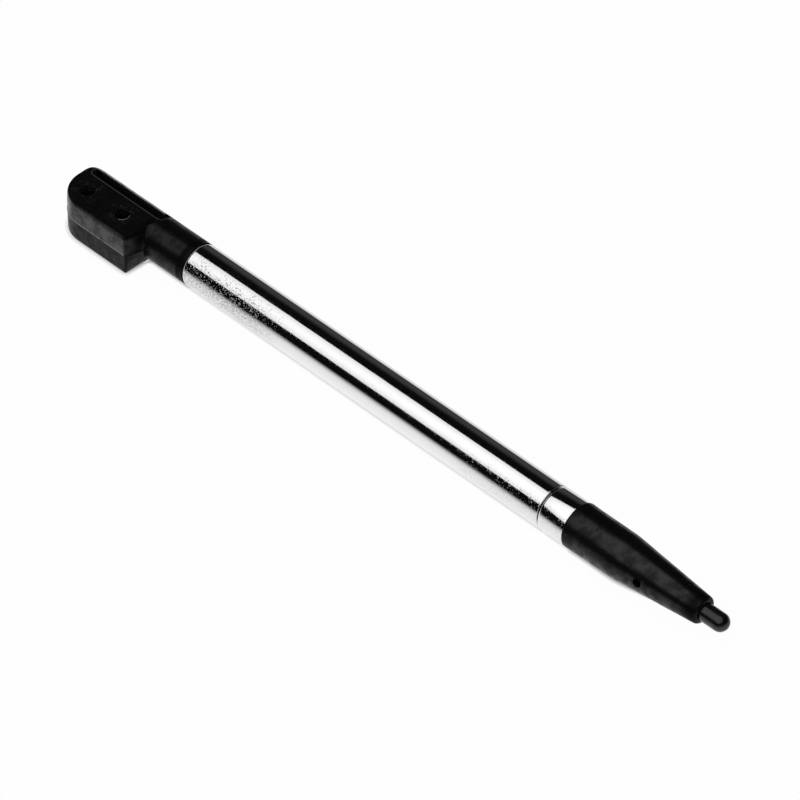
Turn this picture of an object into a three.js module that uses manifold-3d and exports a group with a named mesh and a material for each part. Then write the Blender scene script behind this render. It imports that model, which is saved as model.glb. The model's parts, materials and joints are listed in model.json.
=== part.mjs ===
// Telescopic stylus pen for a handheld game console: a chromed barrel with a moulded head pressed into its
// rear end, and a black writing point on an inner tube that slides out of the barrel and turns in it.
// Millimetres, +Z up. The pen lies along X with the point towards +X, and the head's flag reaches to -Y.
// The origin is the centre of the bounding box in X and Y, at its lowest Z.
// Lengths along the pen are measured from the head's shoulder, where the flag ends and the neck begins.

import * as THREE from "three";
import { mergeVertices, toCreasedNormals } from "three/addons/utils/BufferGeometryUtils.js";
import Module from "manifold-3d";

const wasm = await Module();
wasm.setup();

// Facets round every turned surface. Coaxial pieces share them, so that a facet never meets its neighbour.
const facets = 40;
const arcSteps = 4;

// How far a cutter, or stock that is trimmed later, runs past the body
const overrun = 1;

// Clearances
const pressGap = 0.02; // radial, pieces that are pressed or glued together
const runningGap = 0.05; // radial, pieces that slide or turn in each other
const seatGap = 0.02; // along the pen, shoulders that rest on each other
const closedGap = 0.06; // the joint line between barrel and ferrule while the pen is shut
const restGap = 0.4; // between the head's shank and the plug behind the inner tube while the pen is shut

// Barrel: drawn tube, rounded at its rear end and rolled inwards at its mouth
const barrelRadius = 2.35;
const barrelWall = 0.25;
const barrelLength = 48.23;
const barrelRearRound = 0.2;
const mouthRound = 0.1;
const mouthLipLength = 0.5;
const mouthLipGap = 0.1; // radial, between the rolled lip and the inner tube

// Head: the flag with the spine along its far side
const flagLength = 10.38;
const flagReach = 4.33; // from the pen's axis to the near side
const flagHeight = 4.6;
const flagNearCorner = 3.4;
const flagDraft = THREE.MathUtils.degToRad(1.5); // both ways from the parting plane at mid-height
const flagEdgeRound = 0.22;

// Head: the long core pocket in the spine, and the two round core holes in the flag
const slotRearWall = 0.84;
const slotRunOut = 0.64; // past the shoulder, into the neck
const slotNearEdge = 0.1; // from the pen's axis
const slotWidth = 1.12;
const slotDepth = 2.6;
const slotFrontCorner = 0.35; // on the near side, where the pocket ends in the neck
const notchLength = 0.75; // the pocket's far wall is open here, back from the pocket's front
const notchDepth = 0.8;
const coreHoleRadius = 0.75;
const coreHoleDepth = 1.9;
const coreHoleFromSide = 2.38;
const rearHoleFromEnd = 2.68;
const frontHoleFromShoulder = 2.8;
const coreHoleFacets = 20;

// Head: the neck, and the barbed shank inside the barrel
const neckLength = 5.94;
const neckFillet = 0.55;
const shankLength = 7.5;
const shankRelief = 0.14;
const shankCoreRadius = 0.8;
const shankCoreDepth = 5.5;
const barbCount = 3;
const barbPitch = 1.9;
const barbLength = 1.2;
const shankLeadIn = 0.5;

// Inner tube
const tubeRadius = 1.75;
const tubeWall = 0.2;
const tubeDepthInPoint = 5;

// Guide bush behind the rolled lip
const bushLength = 4;
const bushChamfer = 0.1;

// Rear plug: head, journal, stop collar and spigot
const plugHeadRadius = 1.78;
const plugHeadLength = 0.6;
const journalRadius = 1.45;
const collarRadius = 1.98;
const collarLength = 1;
const spigotLength = 4;
const plugChamfer = 0.2;

// Friction sleeve: slit spring on the journal, bulged towards the barrel
const sleeveLength = 5;
const sleeveWall = 0.2;
const sleeveEndPlay = 0.1;
const sleeveSlit = 0.6;
const sleeveSteps = 8;

// Ferrule: chromed cup round the rear of the point
const ferruleLength = 3.27;
const ferruleWall = 0.25;
const ferruleRound = 0.32;

// Tip holder: lip, straight stretch and cone
const tipProud = 0.045;
const tipLipProud = 0.065;
const tipLipLength = 0.6;
const tipLipRound = 0.05;
const tipStraightLength = 5.89;
const tipConeLength = 10.37;
const tipEndRadius = 1.485;
const tipEndRound = 0.45;

// Nib, its seat in the tip holder and the vent behind it
const nibRadius = 0.965;
const nibReach = 2.87;
const nibDepth = 5.97;
const nibChamfer = 0.15;
const ventRadius = 0.65;
const ventLength = 1.7;
const crossHoleRadius = 0.47;
const crossHoleTilt = THREE.MathUtils.degToRad(9.5); // up from the near side
const crossHoleFacets = 16;

// Radii of what fits into what
const barrelBore = barrelRadius - barrelWall;
const tubeBore = tubeRadius - tubeWall;
const tipRadius = barrelRadius + tipProud;
const tipLipRadius = barrelRadius + tipLipProud;

// Stations along the pen, from the shoulder of the head
const shankFront = neckLength + shankLength;
const barrelRear = neckLength + seatGap;
const barrelMouth = barrelRear + barrelLength;
const bushFront = barrelMouth - mouthLipLength - seatGap;
const ferruleRear = barrelMouth + closedGap;
const ferruleFront = ferruleRear + ferruleLength;
const tipRear = ferruleFront + seatGap;
const coneRear = tipRear + tipStraightLength;
const tipFront = coneRear + tipConeLength;
const nibFront = tipFront + nibReach;
const nibRear = tipFront - nibDepth;
const plugRear = shankFront + restGap;
const journalRear = plugRear + plugHeadLength;
const journalFront = journalRear + sleeveLength + 2 * sleeveEndPlay;
const collarFront = journalFront + collarLength;
const tubeRear = collarFront + seatGap;
const tubeFront = tipRear + tubeDepthInPoint;

const chrome = new THREE.MeshStandardMaterial({ color: 0xd8dadc, roughness: 0.12, metalness: 1 });
const brass = new THREE.MeshStandardMaterial({ color: 0xc39a4c, roughness: 0.3, metalness: 1 });
const blackPlastic = new THREE.MeshStandardMaterial({ color: 0x141415, roughness: 0.5, metalness: 0 });
const nibPlastic = new THREE.MeshStandardMaterial({ color: 0x111112, roughness: 0.3, metalness: 0 });
const bushPlastic = new THREE.MeshStandardMaterial({ color: 0xd9d6cc, roughness: 0.45, metalness: 0 });

// Solid from a closed geometry: shared corners are merged and triangles that shrank to a line are dropped.
function toSolid(geometry) {
  const bare = geometry.clone();
  bare.deleteAttribute("normal");
  bare.deleteAttribute("uv");
  const merged = mergeVertices(bare);
  const corners = merged.index.array;
  const position = merged.attributes.position;
  const triVerts = [];
  const [a, b, c] = [new THREE.Vector3(), new THREE.Vector3(), new THREE.Vector3()];
  let volume = 0;
  for (let i = 0; i < corners.length; i += 3) {
    const [p, q, r] = corners.slice(i, i + 3);
    if (p === q || q === r || r === p) continue;
    triVerts.push(p, q, r);
    a.fromBufferAttribute(position, p);
    b.fromBufferAttribute(position, q);
    c.fromBufferAttribute(position, r);
    volume += a.dot(b.cross(c));
  }
  if (volume < 0) triVerts.reverse();
  const vertProperties = new Float32Array(position.array);
  const mesh = new wasm.Mesh({ numProp: 3, vertProperties, triVerts: new Uint32Array(triVerts) });
  return new wasm.Manifold(mesh);
}

// Geometry of a solid, with smooth normals on its curved surfaces and sharp ones at its edges.
function toGeometry(solid) {
  const { vertProperties, triVerts } = solid.getMesh();
  const geometry = new THREE.BufferGeometry();
  geometry.setAttribute("position", new THREE.BufferAttribute(new Float32Array(vertProperties), 3));
  geometry.setIndex(new THREE.BufferAttribute(new Uint32Array(triVerts), 1));
  return toCreasedNormals(geometry, THREE.MathUtils.degToRad(25));
}

// Points of an arc in a profile: centre, radius and the two angles, from +X towards the outside.
function arc(x, r, radius, from, to, steps = arcSteps) {
  return Array.from({ length: steps + 1 }, (_, i) => {
    const angle = from + ((to - from) * i) / steps;
    return [x + radius * Math.cos(angle), r + radius * Math.sin(angle)];
  });
}

// The rounded rear edge of a turned piece.
function roundedRear(rear, outside, round, steps) {
  return arc(rear + round, outside - round, round, Math.PI, Math.PI / 2, steps);
}

// A lathe turns about +Y. This lays its axis along +X.
const latheAxisToX = new THREE.Matrix4().makeBasis(
  new THREE.Vector3(0, -1, 0),
  new THREE.Vector3(1, 0, 0),
  new THREE.Vector3(0, 0, 1),
);

// Body turned about the pen's axis from [x, radius] points. The profile starts and ends on the axis.
function turned(profile) {
  const points = profile.map(([x, r]) => new THREE.Vector2(r, x));
  return toSolid(new THREE.LatheGeometry(points, facets).applyMatrix4(latheAxisToX));
}

// Ring turned about the pen's axis. The profile closes on itself.
function turnedRing(profile) {
  return turned([...profile, profile[0]]);
}

// Block between two opposite corners.
function block(low, high) {
  const box = new THREE.Box3(new THREE.Vector3(...low), new THREE.Vector3(...high));
  const size = box.getSize(new THREE.Vector3());
  const centre = box.getCenter(new THREE.Vector3());
  return toSolid(new THREE.BoxGeometry(size.x, size.y, size.z).translate(centre.x, centre.y, centre.z));
}

// Upright body through a stack of outlines that all have the same number of points.
function loft(levels) {
  const count = levels[0].outline.length;
  const positions = levels.flatMap(({ outline, z }) => outline.flatMap((p) => [p.x, p.y, z]));
  const index = [];
  for (let level = 0; level < levels.length - 1; level++) {
    for (let i = 0; i < count; i++) {
      const a = level * count + i;
      const b = level * count + ((i + 1) % count);
      index.push(a, b, b + count, a, b + count, a + count);
    }
  }
  const top = (levels.length - 1) * count;
  for (const [p, q, r] of THREE.ShapeUtils.triangulateShape(levels[0].outline, [])) {
    index.push(p, r, q, top + p, top + q, top + r);
  }
  const geometry = new THREE.BufferGeometry();
  geometry.setAttribute("position", new THREE.Float32BufferAttribute(positions, 3));
  geometry.setIndex(index);
  return toSolid(geometry);
}

// Outline of the flag from above, drawn in by the same distance all round. It runs past the shoulder.
function flagOutline(inset) {
  const nearCorner = Math.min(flagNearCorner, flagReach);
  const farCorner = barrelRadius;
  const past = neckFillet;
  const shape = new THREE.Shape();
  shape.moveTo(past, -flagReach + inset);
  shape.lineTo(past, farCorner - inset);
  shape.absarc(farCorner - flagLength, 0, farCorner - inset, Math.PI / 2, Math.PI);
  shape.absarc(
    nearCorner - flagLength,
    nearCorner - flagReach,
    nearCorner - inset,
    Math.PI,
    1.5 * Math.PI,
  );
  return shape.getPoints(2 * arcSteps);
}

// The space that the flag fills: drafted sides, rounded top and bottom edges.
function flagEnvelope() {
  const half = flagHeight / 2;
  const drawnIn = (half - flagEdgeRound) * Math.tan(flagDraft);
  const edge = arc(0, 0, flagEdgeRound, 0, Math.PI / 2, 3).map(([across, up]) => {
    const inset = drawnIn + flagEdgeRound - across;
    return { outline: flagOutline(inset), z: half - flagEdgeRound + up };
  });
  const lower = edge.map(({ outline, z }) => ({ outline, z: -z })).reverse();
  return loft([...lower, { outline: flagOutline(0), z: 0 }, ...edge]);
}

// The concave fillet between the shoulder and the neck.
function shoulderFillet() {
  const root = barrelRadius - neckFillet;
  const rim = barrelRadius + neckFillet;
  const half = flagHeight / 2;
  const ring = turnedRing([
    [-neckFillet, root],
    [-neckFillet, rim],
    ...arc(neckFillet, rim, neckFillet, Math.PI, 1.5 * Math.PI),
    [neckFillet, root],
  ]);
  return ring.intersect(block([-2 * neckFillet, -flagReach, -half], [2 * neckFillet, 0, half]));
}

// The spine along the flag, the neck, and the shank with its barbs and its core hole.
function spineNeckAndShank() {
  const shankRadius = barrelBore - pressGap;
  const waist = shankRadius - shankRelief;
  const profile = [
    [-flagLength - overrun, 0],
    [-flagLength - overrun, barrelRadius],
    [neckLength, barrelRadius],
    [neckLength, waist],
  ];
  for (let i = 0; i < barbCount; i++) {
    const barbRear = neckLength + (i + 0.5) * barbPitch;
    profile.push([barbRear, waist], [barbRear, shankRadius], [barbRear + barbLength, waist]);
  }
  profile.push(
    [shankFront - shankLeadIn, waist],
    [shankFront, waist - shankLeadIn],
    [shankFront, shankCoreRadius],
    [shankFront - shankCoreDepth, shankCoreRadius],
    [shankFront - shankCoreDepth, 0],
  );
  return turned(profile);
}

// The long pocket along the spine: round at its rear end, with one rounded corner in the neck.
function slotCutter() {
  const radius = slotWidth / 2;
  const rear = slotRearWall - flagLength;
  const corner = Math.min(slotFrontCorner, slotWidth);
  const shape = new THREE.Shape();
  shape.moveTo(slotRunOut, slotNearEdge + slotWidth);
  shape.absarc(rear + radius, slotNearEdge + radius, radius, Math.PI / 2, 1.5 * Math.PI);
  shape.absarc(slotRunOut - corner, slotNearEdge + corner, corner, 1.5 * Math.PI, 2 * Math.PI);
  const geometry = new THREE.ExtrudeGeometry(shape, {
    depth: slotDepth + overrun,
    bevelEnabled: false,
    curveSegments: 2 * arcSteps,
  });
  return toSolid(geometry.translate(0, 0, flagHeight / 2 - slotDepth));
}

// The gap at the front of the pocket's far wall.
function notchCutter() {
  const top = flagHeight / 2;
  const inside = slotNearEdge + slotWidth / 2;
  const front = slotRunOut - seatGap;
  const outside = barrelRadius + overrun;
  return block([front - notchLength, inside, top - notchDepth], [front, outside, top + overrun]);
}

function coreHoleCutter(x) {
  const height = coreHoleDepth + overrun;
  const geometry = new THREE.CylinderGeometry(coreHoleRadius, coreHoleRadius, height, coreHoleFacets);
  geometry.rotateX(Math.PI / 2);
  const y = coreHoleFromSide - flagReach;
  return toSolid(geometry.translate(x, y, flagHeight / 2 - coreHoleDepth + height / 2));
}

// The flag's near side ends at the shoulder. Its envelope trims the spine, and leaves neck and shank whole.
function headCap() {
  const near = -flagReach - overrun;
  const nearSide = block([-flagLength - overrun, near, -flagHeight], [0, 0, flagHeight]);
  const frontSpace = block([0, near, -flagHeight], [shankFront + overrun, flagReach, flagHeight]);
  return spineNeckAndShank()
    .add(nearSide)
    .add(shoulderFillet())
    .intersect(flagEnvelope().add(frontSpace))
    .subtract(slotCutter())
    .subtract(notchCutter())
    .subtract(coreHoleCutter(rearHoleFromEnd - flagLength))
    .subtract(coreHoleCutter(-frontHoleFromShoulder));
}

function barrelTube() {
  const lipRadius = tubeRadius + mouthLipGap;
  return turnedRing([
    [barrelRear, barrelBore],
    ...roundedRear(barrelRear, barrelRadius, barrelRearRound),
    ...arc(barrelMouth - mouthRound, barrelRadius - mouthRound, mouthRound, Math.PI / 2, 0),
    [barrelMouth, lipRadius],
    [barrelMouth - mouthLipLength, lipRadius],
    [barrelMouth - mouthLipLength, barrelBore],
  ]);
}

function guideBush() {
  const rear = bushFront - bushLength;
  const bore = tubeRadius + runningGap;
  const outside = barrelBore - pressGap;
  return turnedRing([
    [rear, bore + bushChamfer],
    [rear, outside - bushChamfer],
    [rear + bushChamfer, outside],
    [bushFront, outside],
    [bushFront, bore],
    [rear + bushChamfer, bore],
  ]);
}

function innerTube() {
  return turnedRing([
    [tubeRear, tubeBore],
    [tubeRear, tubeRadius],
    [tubeFront, tubeRadius],
    [tubeFront, tubeBore],
  ]);
}

function rearPlug() {
  const spigotRadius = tubeBore - pressGap;
  const spigotFront = collarFront + spigotLength;
  return turned([
    [plugRear, 0],
    [plugRear, plugHeadRadius - plugChamfer],
    [plugRear + plugChamfer, plugHeadRadius],
    [journalRear, plugHeadRadius],
    [journalRear, journalRadius],
    [journalFront, journalRadius],
    [journalFront, collarRadius],
    [collarFront, collarRadius],
    [collarFront, spigotRadius],
    [spigotFront - plugChamfer, spigotRadius],
    [spigotFront, spigotRadius - plugChamfer],
    [spigotFront, 0],
  ]);
}

// The sleeve's ends ride on the journal and its middle swells towards the barrel's bore.
function frictionSleeve() {
  const rear = journalRear + sleeveEndPlay;
  const endRadius = journalRadius + runningGap;
  const swell = barrelBore - runningGap - sleeveWall - endRadius;
  const inside = Array.from({ length: sleeveSteps + 1 }, (_, i) => {
    const share = i / sleeveSteps;
    return [rear + share * sleeveLength, endRadius + swell * Math.sin(Math.PI * share)];
  });
  const outside = inside.map(([x, r]) => [x, r + sleeveWall]).reverse();
  const half = sleeveSlit / 2;
  const slit = block([rear - overrun, -half, 0], [rear + sleeveLength + overrun, half, barrelRadius]);
  return turnedRing([...inside, ...outside]).subtract(slit);
}

function ferrule() {
  const hole = tubeRadius + pressGap;
  const inside = barrelRadius - ferruleWall;
  return turnedRing([
    [ferruleRear, hole],
    ...roundedRear(ferruleRear, barrelRadius, ferruleRound),
    [ferruleFront, barrelRadius],
    [ferruleFront, inside],
    [ferruleRear + ferruleWall, inside],
    [ferruleRear + ferruleWall, hole],
  ]);
}

// The vent's cross hole, from the axis out through the cone on the near side.
function crossHoleCutter(x) {
  const reach = 2 * tipRadius;
  const geometry = new THREE.CylinderGeometry(crossHoleRadius, crossHoleRadius, reach, crossHoleFacets);
  geometry.translate(0, -reach / 2, 0);
  return toSolid(geometry.rotateX(-crossHoleTilt).translate(x, 0, 0));
}

function tipHolder() {
  const tubeSeat = tubeFront + seatGap;
  const tubeHole = tubeRadius + pressGap;
  const spigotRear = ferruleRear + ferruleWall + seatGap;
  const spigotRadius = barrelRadius - ferruleWall - pressGap;
  const nibSeat = nibRear - seatGap;
  const nibHole = nibRadius + pressGap;
  const ventRear = nibSeat - ventLength;
  const slope = Math.atan2(tipRadius - tipEndRadius, tipConeLength);
  const body = turned([
    [tubeSeat, 0],
    [tubeSeat, tubeHole],
    [spigotRear, tubeHole],
    [spigotRear, spigotRadius],
    [tipRear, spigotRadius],
    ...roundedRear(tipRear, tipLipRadius, tipLipRound, 2),
    [tipRear + tipLipLength, tipLipRadius],
    [tipRear + tipLipLength + tipLipRound, tipRadius],
    [coneRear, tipRadius],
    ...arc(tipFront - tipEndRound, tipEndRadius - tipEndRound, tipEndRound, Math.PI / 2 - slope, 0),
    [tipFront, nibHole],
    [nibSeat, nibHole],
    [nibSeat, ventRadius],
    [ventRear, ventRadius],
    [ventRear, 0],
  ]);
  return body.subtract(crossHoleCutter((ventRear + nibSeat) / 2));
}

function nib() {
  return turned([
    [nibRear, 0],
    [nibRear, nibRadius - nibChamfer],
    [nibRear + nibChamfer, nibRadius],
    ...arc(nibFront - nibRadius, 0, nibRadius, Math.PI / 2, 0, 2 * arcSteps),
  ]);
}

const pen = new THREE.Group();
const pieces = [
  ["head_cap", headCap, blackPlastic],
  ["barrel_tube", barrelTube, chrome],
  ["guide_bush", guideBush, bushPlastic],
  ["rear_plug", rearPlug, brass],
  ["friction_sleeve", frictionSleeve, brass],
  ["inner_tube", innerTube, chrome],
  ["ferrule", ferrule, chrome],
  ["tip_holder", tipHolder, blackPlastic],
  ["nib", nib, nibPlastic],
];
for (const [name, make, material] of pieces) {
  const mesh = new THREE.Mesh(toGeometry(make()), material);
  mesh.name = name;
  pen.add(mesh);
}

const bounds = new THREE.Box3().setFromObject(pen);
const middle = bounds.getCenter(new THREE.Vector3());
pen.position.set(-middle.x, -middle.y, -bounds.min.z);

export default pen;
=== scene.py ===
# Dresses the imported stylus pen: finely turned and moulded pieces around the solid model, their finishes, and
# a pale floor under a large soft light. Shapes are modelled in millimetres about the shoulder of the head, on
# the pen's axis, and put in place in metres.
import json
import math

import bmesh
import bpy
from mathutils import Matrix, Vector


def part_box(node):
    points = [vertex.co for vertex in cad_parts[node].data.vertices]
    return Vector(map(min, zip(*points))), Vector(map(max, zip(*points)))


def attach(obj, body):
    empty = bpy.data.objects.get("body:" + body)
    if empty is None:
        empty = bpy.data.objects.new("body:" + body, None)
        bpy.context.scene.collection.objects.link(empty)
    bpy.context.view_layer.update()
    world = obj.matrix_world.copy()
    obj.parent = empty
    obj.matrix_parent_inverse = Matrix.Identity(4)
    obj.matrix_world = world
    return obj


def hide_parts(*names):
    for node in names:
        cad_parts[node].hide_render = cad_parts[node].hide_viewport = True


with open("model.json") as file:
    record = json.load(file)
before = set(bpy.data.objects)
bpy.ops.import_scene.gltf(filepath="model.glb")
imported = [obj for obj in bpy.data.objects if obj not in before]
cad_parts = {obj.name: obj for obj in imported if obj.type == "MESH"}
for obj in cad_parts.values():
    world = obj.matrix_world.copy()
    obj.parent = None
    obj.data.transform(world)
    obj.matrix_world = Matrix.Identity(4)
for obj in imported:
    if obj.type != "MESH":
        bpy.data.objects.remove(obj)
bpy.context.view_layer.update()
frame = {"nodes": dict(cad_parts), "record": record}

MM = 0.001

# Places in the frame, in metres
barrel_low, barrel_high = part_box("barrel_tube")
head_low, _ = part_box("head_cap")
mounts = {mount["name"]: Vector(mount["pos_m"]) for mount in frame["record"]["mounts"]}
AXIS_Y = (barrel_low.y + barrel_high.y) / 2
AXIS_Z = (barrel_low.z + barrel_high.z) / 2
SHOULDER_X = mounts["holder_stop"].x
SHOULDER = Vector((SHOULDER_X, AXIS_Y, AXIS_Z))


def station(metres):
    """A place along the pen in millimetres from the shoulder."""
    return (metres - SHOULDER_X) / MM


def span(node):
    """Where a node begins and ends along the pen, and its largest radius, in millimetres."""
    low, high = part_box(node)
    return station(low.x), station(high.x), (high.z - low.z) / 2 / MM


# Sizes read from the frame, in millimetres
BARREL_REAR, BARREL_MOUTH, BARREL_RADIUS = span("barrel_tube")
FERRULE_REAR, FERRULE_FRONT, FERRULE_RADIUS = span("ferrule")
SPIGOT_REAR, TIP_FRONT, LIP_RADIUS = span("tip_holder")
NIB_REAR, NIB_FRONT, NIB_RADIUS = span("nib")
TUBE_REAR, TUBE_FRONT, TUBE_RADIUS = span("inner_tube")
FLAG_REAR, SHANK_FRONT, _ = span("head_cap")
FLAG_REACH = (AXIS_Y - head_low.y) / MM
FLAG_HALF = (AXIS_Z - mounts["flag_underside"].z) / MM

# Sizes of the forms, in millimetres

# Steps of a full turn, of a round and of a swell
TURN_STEPS = 160
ARC_STEPS = 6
SWELL_STEPS = 8

# How far fitted parts stay apart, how far a tool reaches past what it cuts, how far two forms that are joined
# run into each other, and how little one form stands past another where they would be flush
GAP = 0.02
SPARE = 1
OVERLAP = 0.01
TRIM = 0.001

# Barrel
BARREL_WALL = 0.25
BARREL_ROUND = 0.28
MOUTH_ROUND = 0.1
MOUTH_LIP = 0.5
LIP_GAP = 0.1

# Neck and shank
NECK_FRONT = BARREL_REAR - GAP
NECK_FILLET = 0.55
SHANK_WAIST = 1.94
SHANK_CORE = 0.8
SHANK_CORE_DEPTH = 5.5
SHANK_LEAD_IN = 0.5
BARB_COUNT = 3
BARB_PITCH = 1.9
BARB_LENGTH = 1.2
BARB_HEIGHT = 0.14

# Flag: its sides lean in from the raised parting line to the rounds above and below
NEAR_CORNER = 3.4
PARTING_WIDTH = 0.06
PARTING_HEIGHT = 0.03
SIDE_DRAFT = 0.02
SIDE_INSET = PARTING_HEIGHT + SIDE_DRAFT
TOP_ROUND_WIDTH = 0.15
TOP_ROUND_HEIGHT = 0.85
BOTTOM_ROUND = 0.1
SIDE_ROUND_STEPS = 8

# Shoulder: its upper half is set back and slants less than its lower half
CORNER_ROUND = 0.2
SHOULDER_LEVELS = (0.25, 0.5, 0.75, 1, 1.25, 1.5, 1.7, 1.85, 2, 2.1, 2.18, 2.24, 2.28, FLAG_HALF + TRIM)
SHOULDER_TOP_ROUND = 0.3
PARTING_SLANT = 0.32
PARTING_SWELL = 0.06
PARTING_STEP = 0.05
UPPER_SLANT = 0.09
UPPER_SETBACK = 0.02
UPPER_FILLET = 0.62
UPPER_FILLET_X = 0.15
FRONT_SPACE_X = 0.1

# Pocket along the spine
SLOT_REAR_WALL = 0.84
SLOT_RUN_OUT = 0.64
SLOT_NEAR = 0.1
SLOT_WIDTH = 1.12
SLOT_DEPTH = 2.6
SLOT_CORNER = 0.35
NOTCH_LENGTH = 0.75
NOTCH_DEPTH = 0.8

# Core holes, and the burr on the front one
CORE_HOLE_RADIUS = 0.75
CORE_HOLE_DEPTH = 1.9
CORE_HOLE_SIDES = 48
CORE_HOLE_Y = 2.38 - FLAG_REACH
REAR_HOLE_X = FLAG_REAR + 2.68
FRONT_HOLE_X = -2.8
CORE_HOLES_X = (REAR_HOLE_X, FRONT_HOLE_X)
BURR_RADIUS = 0.8
BURR_THICKNESS = 0.055
BURR_TURN_STEPS = 64
BURR_FROM = (0.25, -0.8)
BURR_TO = (1, 0.4)

# Rounds on the rims of the pocket and of the holes
RIM_ROUND = 0.08
RIM_STEPS = 3
RIM_MARGIN = 0.02
SLOT_RIM_LOWEST = 1.2
HOLE_RIM_DEPTH = 0.1

# How pale the head's forms are, from 0 to 1: wear and dust, and on the parting line and the burr also a
# painted highlight
PARTING_WEAR_AND_HIGHLIGHT = 0.8
BURR_WEAR_AND_HIGHLIGHT = 0.3
POCKET_DUST = 0.02
HOLE_RIM_WEAR = 0.12

# Tube and ferrule
TUBE_WALL = 0.2
FERRULE_WALL = 0.25
FERRULE_ROUND = 0.32
FERRULE_LIP_ROUND = 0.12

# Tip holder: a lip, a straight length and a cone
LIP_HEIGHT = 0.02
TIP_REAR = FERRULE_FRONT + GAP
TIP_RADIUS = LIP_RADIUS - LIP_HEIGHT
TIP_LIP = 0.6
TIP_LIP_ROUND = 0.05
TIP_STRAIGHT = 5.89
TIP_BEND = 0.8
TIP_END_RADIUS = 1.485
TIP_END_ROUND = 0.45
TIP_TUBE_DEPTH = 5
VENT_RADIUS = 0.65
VENT_LENGTH = 1.7
CROSS_HOLE_RADIUS = 0.47
CROSS_HOLE_SIDES = 40
CROSS_HOLE_TILT = math.radians(9.5)

# Nib
NIB_CHAMFER = 0.15


# Modelling helpers

def arc(x, r, radius, start, end, steps=ARC_STEPS):
    """Points of an arc in a profile, from its centre, radius and two angles in degrees."""
    angles = [math.radians(start + (end - start) * i / steps) for i in range(steps + 1)]
    return [(x + radius * math.cos(a), r + radius * math.sin(a)) for a in angles]


def ease_both(share):
    return share * share * (3 - 2 * share)


def ease_in(share):
    return share * share


def swell(start, end, before, after, ease=ease_both):
    """Points of a smooth change of radius. It starts level, and ends level too unless it only eases in."""
    shares = [i / SWELL_STEPS for i in range(SWELL_STEPS + 1)]
    return [(start + (end - start) * share, before + (after - before) * ease(share)) for share in shares]


def lay_chain(bm, points, closed=False):
    """A chain of edges through the points, as vertices and edges."""
    verts = [bm.verts.new(point) for point in points]
    ends = verts[1:] + verts[:1] if closed else verts[1:]
    return verts, [bm.edges.new(pair) for pair in zip(verts, ends)]


def grow(bm, edges):
    """Draws a new row of faces out of a chain of edges, as its vertices and edges still to be moved."""
    grown = bmesh.ops.extrude_edge_only(bm, edges=edges)["geom"]
    verts = [item for item in grown if isinstance(item, bmesh.types.BMVert)]
    return verts, [item for item in grown if isinstance(item, bmesh.types.BMEdge)]


def turned(profile, closed=False):
    """A body turned about the pen's axis from (x, radius) points."""
    bm = bmesh.new()
    verts, edges = lay_chain(bm, [(x, 0, r) for x, r in profile], closed)
    bmesh.ops.spin(
        bm, geom=verts + edges, cent=(0, 0, 0), axis=(1, 0, 0),
        angle=math.tau, steps=TURN_STEPS, use_merge=True,
    )
    return closed_body(bm)


def block(low, high):
    """A box between two corners."""
    low, high = Vector(low), Vector(high)
    bm = bmesh.new()
    place = Matrix.Translation((low + high) / 2) @ Matrix.Diagonal((high - low).to_4d())
    bmesh.ops.create_cube(bm, size=1, matrix=place)
    return bm


def closed_body(bm):
    """Welds the seams and poles of a body and points its faces outwards."""
    bmesh.ops.remove_doubles(bm, verts=bm.verts, dist=1e-4)
    bmesh.ops.recalc_face_normals(bm, faces=bm.faces)
    return bm


def as_object(bm, name):
    mesh = bpy.data.meshes.new(name)
    bm.to_mesh(mesh)
    bm.free()
    piece = bpy.data.objects.new(name, mesh)
    bpy.context.scene.collection.objects.link(piece)
    return piece


def carve(bm, *steps):
    """Joins, cuts or trims a closed body with others. A step is an operation and a body, which it uses up."""
    piece = as_object(bm, "carved")
    for operation, other in steps:
        tool = as_object(other, "tool")
        modifier = piece.modifiers.new("carve", "BOOLEAN")
        modifier.operation = operation
        modifier.solver = "EXACT"
        modifier.object = tool
        shaped = piece.evaluated_get(bpy.context.evaluated_depsgraph_get())
        mesh = bpy.data.meshes.new_from_object(shaped)
        piece.modifiers.clear()
        piece.data = mesh
        bpy.data.objects.remove(tool)
    result = bmesh.new()
    result.from_mesh(piece.data)
    bpy.data.objects.remove(piece)
    return closed_body(result)


def soften(bm, least_angle, where):
    """Rounds the edges that are sharper than an angle and whose middle passes the test."""
    limit = math.radians(least_angle)
    edges = [
        edge for edge in bm.edges
        if edge.is_manifold
        and edge.calc_face_angle(0) > limit
        and where((edge.verts[0].co + edge.verts[1].co) / 2)
    ]
    bmesh.ops.bevel(
        bm, geom=edges, offset=RIM_ROUND, segments=RIM_STEPS, profile=0.5,
        affect="EDGES", material=-1, clamp_overlap=True,
    )


def mark_wear_and_highlight(bm, wear_and_highlight):
    """Says how pale each face is, from 0 to 1, by its middle and its normal: wear, or a painted highlight
    where the test gives one.
    """
    layer = bm.faces.layers.float.new("wear_and_highlight")
    bm.normal_update()
    for face in bm.faces:
        face[layer] = wear_and_highlight(face.calc_center_median(), face.normal)


def add_piece(bm, name, body, finish, node, sharp_angle=40):
    """Puts a finished body in place on the pen, with its finish, instead of the solid of the same part."""
    place = Matrix.Translation(SHOULDER) @ Matrix.Scale(MM, 4)
    bmesh.ops.transform(bm, matrix=place, verts=bm.verts)
    piece = as_object(bm, name)
    piece.data.shade_smooth()
    piece.data.set_sharp_from_angle(angle=math.radians(sharp_angle))
    weighted = piece.modifiers.new("even_shading", "WEIGHTED_NORMAL")
    weighted.keep_sharp = True
    piece.data.materials.append(finish)
    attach(piece, body)
    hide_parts(node)


# Shader helpers

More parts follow.
